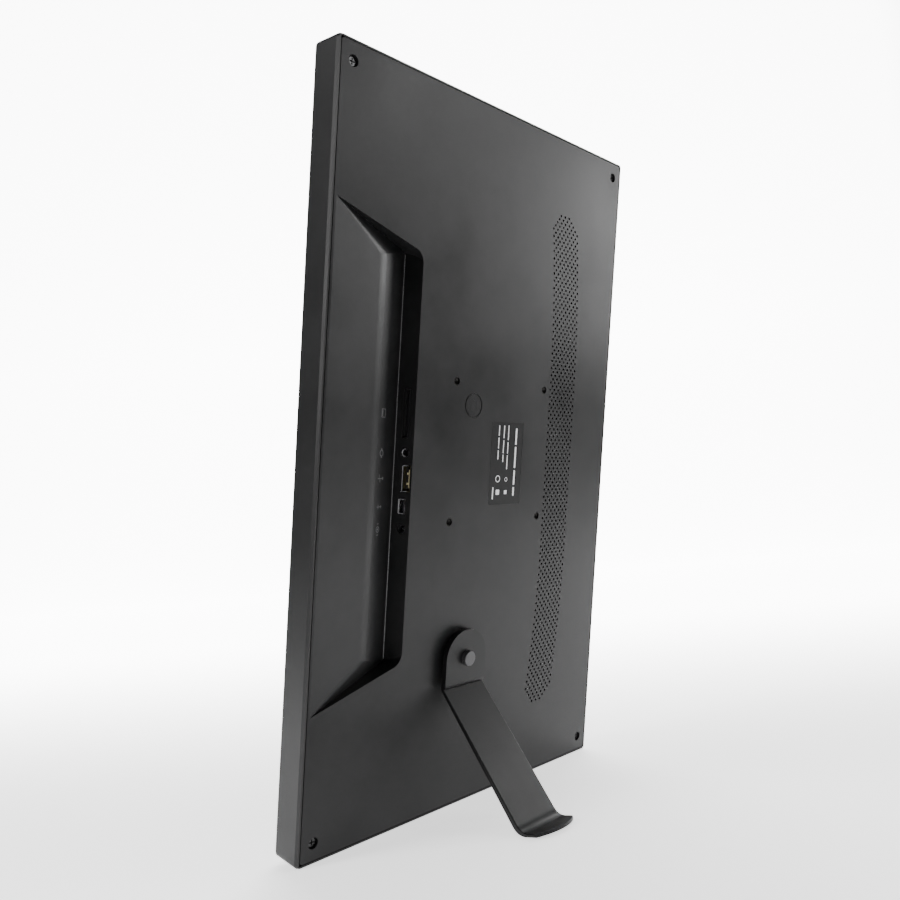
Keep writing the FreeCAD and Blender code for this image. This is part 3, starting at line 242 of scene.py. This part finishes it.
# label print: plain bars and shapes where a real label has its lines
p = Pile()
LAB = -0.02
for zc, w in ((13.6, 9.4), (1.6, 12.2), (-10.0, 8.4), (-18.0, 5.0)):
    flat(p, on_back, rounded(-25.3, zc, 1.35, w, 0.3), LAB - 0.01, LAB + 0.012)
for x, spans in ((-18.3, ((15.6, 8.4), (7.0, 6.6), (-1.2, 8.0))), (-14.5, ((16.0, 7.2), (7.6, 7.4), (1.0, 4.2))),
                 (-10.2, ((16.6, 5.8), (9.6, 6.2), (3.0, 5.2)))):
    for zc, w in spans:
        flat(p, on_back, rounded(x, zc, 0.75, w, 0.2), LAB - 0.01, LAB + 0.012)
hoop(p, on_back, -18.3, -11.0, 0.9, 1.2, LAB - 0.01, LAB + 0.012)
flat(p, on_back, bar(-18.3, -18.3, 2.2, 2.2), LAB - 0.01, LAB + 0.012)
hoop(p, on_back, -11.1, -10.6, 1.5, 1.95, LAB - 0.01, LAB + 0.012)
flat(p, on_back, rounded(-11.5, -18.2, 2.9, 2.9, 0.4), LAB - 0.01, LAB + 0.012)
flat(p, on_back, rounded(-7.4, -18.7, 0.9, 6.8, 0.3), LAB - 0.01, LAB + 0.012)
mesh_object("label_print", p.v, p.f, ink, "panel")

# the round moulded mark: a plain ring of dots and two bars
p = Pile()
BX, BZ = 12.5, 29.6
for i in range(24):
    a = 2 * math.pi * i / 24
    flat(p, on_back, disc(BX + 5.0 * math.cos(a), BZ + 5.0 * math.sin(a), 0.28, 8), -0.02, 0.05)
hoop(p, on_back, BX, BZ, 2.6, 3.0, -0.02, 0.05)
flat(p, on_back, rounded(BX, BZ + 0.9, 3.4, 0.5, 0.2), -0.02, 0.05)
flat(p, on_back, rounded(BX, BZ - 0.9, 3.4, 0.5, 0.2), -0.02, 0.05)
mesh_object("round_mark", p.v, p.f, M["cover_black"], "panel")


# shapes beside the sockets, on the bay's slope
UX, UY = 19.5 / math.hypot(19.5, 6.8), 6.8 / math.hypot(19.5, 6.8)


def on_slope(u, v, h):
    return W(71.0 + u * UX - h * UY, -6.44 + u * UY + h * UX, v)


p = Pile()
lo, hi = -0.02, 0.03


def frame_bar(z, w, h, t=0.35):
    for q in (bar(-w / 2, z, t, h), bar(w / 2, z, t, h), bar(0, z - h / 2 + t / 2, w, t), bar(0, z + h / 2 - t / 2, w, t)):
        flat(p, on_slope, q, lo, hi)


frame_bar(22.6, 3.4, 4.4)
flat(p, on_slope, bar(0.9, 22.6, 0.5, 2.8), lo, hi)
hoop(p, on_slope, 0, 2.7, 1.25, 1.65, lo, hi, 24)
flat(p, on_slope, bar(0, 0.7, 1.2, 0.5), lo, hi)
flat(p, on_slope, bar(0, 4.7, 1.2, 0.5), lo, hi)
flat(p, on_slope, bar(0, -10.0, 4.6, 0.35), lo, hi)
flat(p, on_slope, disc(-2.3, -10.0, 0.7, 16), lo, hi)
flat(p, on_slope, bar(1.0, -9.0, 0.35, 2.0), lo, hi)
flat(p, on_slope, bar(0.2, -11.0, 0.35, 2.0), lo, hi)
flat(p, on_slope, bar(0, -24.2, 3.8, 0.35), lo, hi)
flat(p, on_slope, disc(-1.9, -24.2, 0.6, 16), lo, hi)
flat(p, on_slope, bar(0.6, -24.2, 0.35, 2.2), lo, hi)
hoop(p, on_slope, 0, -35.5, 1.2, 1.55, lo, hi, 24)
flat(p, on_slope, disc(0, -35.5, 0.5, 16), lo, hi)
flat(p, on_slope, bar(0, -38.3, 1.6, 0.35), lo, hi)
flat(p, on_slope, bar(0, -32.7, 1.6, 0.35), lo, hi)
mesh_object("socket_marks", p.v, p.f, mark, "panel")


# contacts inside the sockets
def solid(pile, x0, x1, y0, y1, z0, z1):
    pile.prism([W(x0, y0, z0), W(x1, y0, z0), W(x1, y1, z0), W(x0, y1, z0)], [W(x0, y0, z1), W(x1, y0, z1), W(x1, y1, z1), W(x0, y1, z1)])


p = Pile()
for z in (-10 - 3.5, -10 - 1.0, -10 + 1.0, -10 + 3.5):
    solid(p, 45.5, 54.2, -3.66, -3.55, z - 0.5, z + 0.5)
for k in range(5):
    z = -24.3 + (k - 2) * 0.8
    solid(p, 49.6, 55.4, -4.47, -4.42, z - 0.16, z + 0.16)
for k in range(9):
    z = 23.1 + (k - 4) * 2.5
    solid(p, 31.0, 40.0, -6.72, -6.45, z - 0.55, z + 0.55)
solid(p, 44.0, 47.0, -4.6, -4.1, 4.5, 4.75)
mesh_object("socket_contacts", p.v, p.f, gold, "panel")

# bright lips of the wide socket's shell, and a black lip in the card slot that paints the shade inside the slot
p = Pile()
solid(p, 46.0, 55.9, -1.85, -1.25, -10 - 4.6, -10 + 4.6)
for z in (-10 - 2.6, -10 + 2.6):
    solid(p, 50.0, 55.7, -3.45, -2.75, z - 0.55, z + 0.55)
mesh_object("shell_springs", p.v, p.f, gold, "panel")
p = Pile()
solid(p, 56.2, 56.45, -4.5, -3.2, 23.1 - 12.2, 23.1 + 12.2)
mesh_object("card_lip_shaded", p.v, p.f, M["socket_black"], "panel")


# a crisp ridge down the fold of the bay, coloured light grey as a painted highlight along the fold
p = Pile()
ZF = 119.8 - 0.2845 * (111.9 - 58.5)
for z0, z1 in ((-ZF + 0.8, ZF - 1.4),):
    q = [(58.35, -10.5), (58.75, -10.42), (58.95, -10.58), (58.7, -10.85), (58.4, -10.82)]
    p.prism([W(x, y, z0) for x, y in q], [W(x, y, z1) for x, y in q])
mesh_object("fold_highlight_ridge", p.v, p.f, M["ridge"], "panel")

# bright rims of the round and small sockets
p = Pile()


def on_wall(u, v, h):
    """On the port wall: u = depth towards the screen, v = Z, h outwards along X."""
    return W(56.5 + h + 0.268 * (u - 4.5), -u, v)


hoop(p, on_wall, 4.5, 3.1, 1.85, 2.15, -0.3, 0.12, 28)
for q in (bar(3.2, -24.3, 0.3, 7.0), bar(5.0, -24.3 + 3.6, 3.4, 0.3), bar(5.0, -24.3 - 3.6, 3.4, 0.3), bar(6.75, -24.3, 0.3, 7.0)):
    flat(p, on_wall, q, -0.2, 0.45)
for q in (bar(1.1, -10.0, 0.35, 12.9), bar(5.75, -10.0, 0.35, 12.9), bar(3.4, -10.0 + 6.55, 4.4, 0.35), bar(3.4, -10.0 - 6.55, 4.4, 0.35)):
    flat(p, on_wall, q, -0.2, -0.05)
mesh_object("socket_rims", p.v, p.f, bright, "panel")
p = Pile()
for q in (bar(2.95, 23.1, 0.22, 25.2), bar(7.08, 23.1, 0.22, 25.2)):
    flat(p, on_wall, q, -0.15, 0.05)
mesh_object("card_rim", p.v, p.f, mark, "panel")

# threads in the four inserts: stacked fine ridges
def thread_rings(cx, cz, r, d0, d1, pitch, tooth, pile, n=32):
    d = d0
    while d < d1:
        prof = [(r + 0.02, d), (r - tooth, d + pitch * 0.35), (r + 0.02, d + pitch * 0.7)]
        base = len(pile.v)
        for i in range(n):
            a = 2 * math.pi * i / n
            for rr, dd in prof:
                pile.v.append(W(cx + rr * math.cos(a), -dd, cz + rr * math.sin(a)))
        for i in range(n):
            j = (i + 1) % n
            for q in range(2):
                pile.f.append((base + 3 * i + q, base + 3 * j + q, base + 3 * j + q + 1, base + 3 * i + q + 1))
        d += pitch


p = Pile()
for sx in (-1, 1):
    for sz in (-1, 1):
        thread_rings(-11.1 + 37.5 * sx, 4.3 + 37.5 * sz, 1.65, 1.0, 5.4, 0.7, 0.22, p)
mesh_object("insert_threads", p.v, p.f, M["black_insert"], "panel")

# fine knurl on the stand screw's rim and a coin-turned face
p = Pile()
PX, PZ = 12.4, -107.1
for i in range(60):
    a = 2 * math.pi * i / 60
    da = 0.028
    quad = [(PX + 3.98 * math.cos(a - da), PZ + 3.98 * math.sin(a - da)), (PX + 4.09 * math.cos(a), PZ + 4.09 * math.sin(a)),
            (PX + 3.98 * math.cos(a + da), PZ + 3.98 * math.sin(a + da))]
    p.prism([W(x, 5.95, z) for x, z in quad], [W(x, 7.9, z) for x, z in quad])
for r in (1.0, 1.8, 2.6):
    hoop(p, on_back, PX, PZ, r, r + 0.14, 8.3, 8.37, 36)
mesh_object("screw_knurl", p.v, p.f, M["screw_black"], "screw")

# copper tracks' solder pads and pins on the main board, seen when the back is off
p = Pile()
for i in range(16):
    for side in (-1, 1):
        solid(p, 18 + side * 7.6 - 0.6, 18 + side * 7.6 + 0.6, -8.72, -8.58, 2 - 7 + i * 0.93 - 0.2, 2 - 7 + i * 0.93 + 0.2)
        solid(p, 18 - 7 + i * 0.93 - 0.2, 18 - 7 + i * 0.93 + 0.2, -8.72, -8.58, 2 + side * 7.6 - 0.6, 2 + side * 7.6 + 0.6)
for i in range(11):
    for side in (-1, 1):
        solid(p, 18 + side * 5.7 - 0.5, 18 + side * 5.7 + 0.5, -8.72, -8.58, 18.6 + i * 0.68 - 0.15, 18.6 + i * 0.68 + 0.15)
mesh_object("chip_pins", p.v, p.f, M["steel"], "panel")

# ------------------------------------------------------------------ studio
def glowing_sweep():
    """White paper with a painted glow: emission makes it brightest behind the object, and it falls off to grey paper
    on both sides.
    """
    m = bpy.data.materials.new("studio_sweep")
    m.use_nodes = True
    nt = m.node_tree
    bs = nt.nodes["Principled BSDF"]
    bs.inputs["Base Color"].default_value = (0.82, 0.82, 0.82, 1)
    bs.inputs["Roughness"].default_value = 0.9
    bs.inputs["Specular IOR Level"].default_value = 0.1
    bs.inputs["Emission Color"].default_value = (1, 1, 1, 1)
    tc = nt.nodes.new("ShaderNodeTexCoord")
    tip = (0.62, 0.57, 0.0)

    def along(axis):
        sub = nt.nodes.new("ShaderNodeVectorMath")
        sub.operation = "SUBTRACT"
        sub.inputs[1].default_value = tip
        nt.links.new(tc.outputs["Object"], sub.inputs[0])
        dot = nt.nodes.new("ShaderNodeVectorMath")
        dot.operation = "DOT_PRODUCT"
        dot.inputs[1].default_value = axis
        nt.links.new(sub.outputs["Vector"], dot.inputs[0])
        return dot.outputs["Value"]

    side = nt.nodes.new("ShaderNodeMath")
    side.operation = "ABSOLUTE"
    nt.links.new(along((-0.6918, 0.7221, 0.0)), side.inputs[0])
    out_by = nt.nodes.new("ShaderNodeMath")
    out_by.operation = "MULTIPLY_ADD"
    out_by.inputs[1].default_value = -0.56
    nt.links.new(along((-0.7221, -0.6918, 0.0)), out_by.inputs[0])
    nt.links.new(side.outputs[0], out_by.inputs[2])
    fade = nt.nodes.new("ShaderNodeMapRange")
    fade.interpolation_type = "SMOOTHSTEP"
    fade.inputs["From Min"].default_value = -0.14
    fade.inputs["From Max"].default_value = 0.32
    fade.inputs["To Min"].default_value = 0.95
    fade.inputs["To Max"].default_value = 0.06
    nt.links.new(out_by.outputs[0], fade.inputs["Value"])
    paper = nt.nodes.new("ShaderNodeMix")
    paper.data_type = "RGBA"
    paper.inputs[6].default_value = (0.30, 0.30, 0.30, 1)
    paper.inputs[7].default_value = (0.86, 0.86, 0.86, 1)
    nt.links.new(fade.outputs["Result"], paper.inputs[0])
    nt.links.new(paper.outputs[2], bs.inputs["Base Color"])
    # painted glow: emission strength grows with distance behind the object, so the sweep shines white though it is no
    # lamp
    far = nt.nodes.new("ShaderNodeMapRange")
    far.interpolation_type = "SMOOTHSTEP"
    far.inputs["From Min"].default_value = 0.85
    far.inputs["From Max"].default_value = 1.7
    far.inputs["To Min"].default_value = 1.35
    far.inputs["To Max"].default_value = 10.0
    nt.links.new(along((-0.7221, -0.6918, 0.0)), far.inputs["Value"])
    glow = nt.nodes.new("ShaderNodeMath")
    glow.operation = "MULTIPLY"
    nt.links.new(fade.outputs["Result"], glow.inputs[0])
    nt.links.new(far.outputs["Result"], glow.inputs[1])
    nt.links.new(glow.outputs[0], bs.inputs["Emission Strength"])
    return m


sweep = glowing_sweep()
out = []
R = 0.9
for i in range(-1, 25):
    if i == -1:
        out.append((1.6, 0.0))
    else:
        a = math.radians(90 * i / 24)
        out.append((-1.9 - R * math.sin(a), R - R * math.cos(a)))
out.append((-1.9 - R, 3.4))
verts, faces = [], []
ux, uy = -0.719134, -0.68896
ln = math.hypot(ux, uy)
ux, uy = ux / ln, uy / ln
for s, z in out:
    for t in (-3.4, 3.4):
        verts.append((-s * ux + t * uy, -s * uy - t * ux, z))
for i in range(len(out) - 1):
    faces.append((2 * i, 2 * i + 1, 2 * i + 3, 2 * i + 2))
me = bpy.data.meshes.new("studio_sweep")
me.from_pydata(verts, [], faces)
for f in me.polygons:
    f.use_smooth = True
me.materials.append(sweep)
floor = bpy.data.objects.new("studio_sweep", me)
bpy.context.scene.collection.objects.link(floor)

world = bpy.data.worlds.new("studio")
bpy.context.scene.world = world
world.use_nodes = True
world.node_tree.nodes["Background"].inputs["Color"].default_value = (1, 1, 1, 1)
world.node_tree.nodes["Background"].inputs["Strength"].default_value = 0.12


def soft_box(name, at, aim, w, h, power):
    li = bpy.data.lights.new(name, "AREA")
    li.shape = "RECTANGLE"
    li.size, li.size_y = w, h
    li.energy = power
    o = bpy.data.objects.new(name, li)
    bpy.context.scene.collection.objects.link(o)
    o.location = at
    o.rotation_euler = (Vector(aim) - Vector(at)).to_track_quat("-Z", "Y").to_euler()
    return o


soft_box("key", (-1.19, 0.60, 0.52), (0.0, 0.0, 0.24), 0.34, 0.48, 8.5)
soft_box("upper", (-0.74, 1.05, 0.72), (0.06, 0.0, 0.33), 0.42, 0.42, 5.5)
soft_box("fill", (0.7, 1.0, 1.1), (0.0, 0.0, 0.2), 0.9, 0.9, 0.6)
soft_box("edge", (1.25, -0.38, 0.75), (0.11, 0.0, 0.2), 0.35, 1.1, 16.0)

# ------------------------------------------------------------------ camera
cam = bpy.data.cameras.new("camera")
cam.sensor_width = 36.0
cam.lens = 32.877
cam.clip_start = 0.01
view = D(-0.719134, -0.693843, -0.037794).normalized()
up = D(0.012530, -0.067329, 0.997652)
right = view.cross(up).normalized()
up = right.cross(view).normalized()
co = bpy.data.objects.new("camera", cam)
bpy.context.scene.collection.objects.link(co)
rot = Matrix((right, up, -view)).transposed()
co.matrix_world = Matrix.Translation(W(340.96, 301.07, 21.59)) @ rot.to_4x4()
bpy.context.scene.camera = co
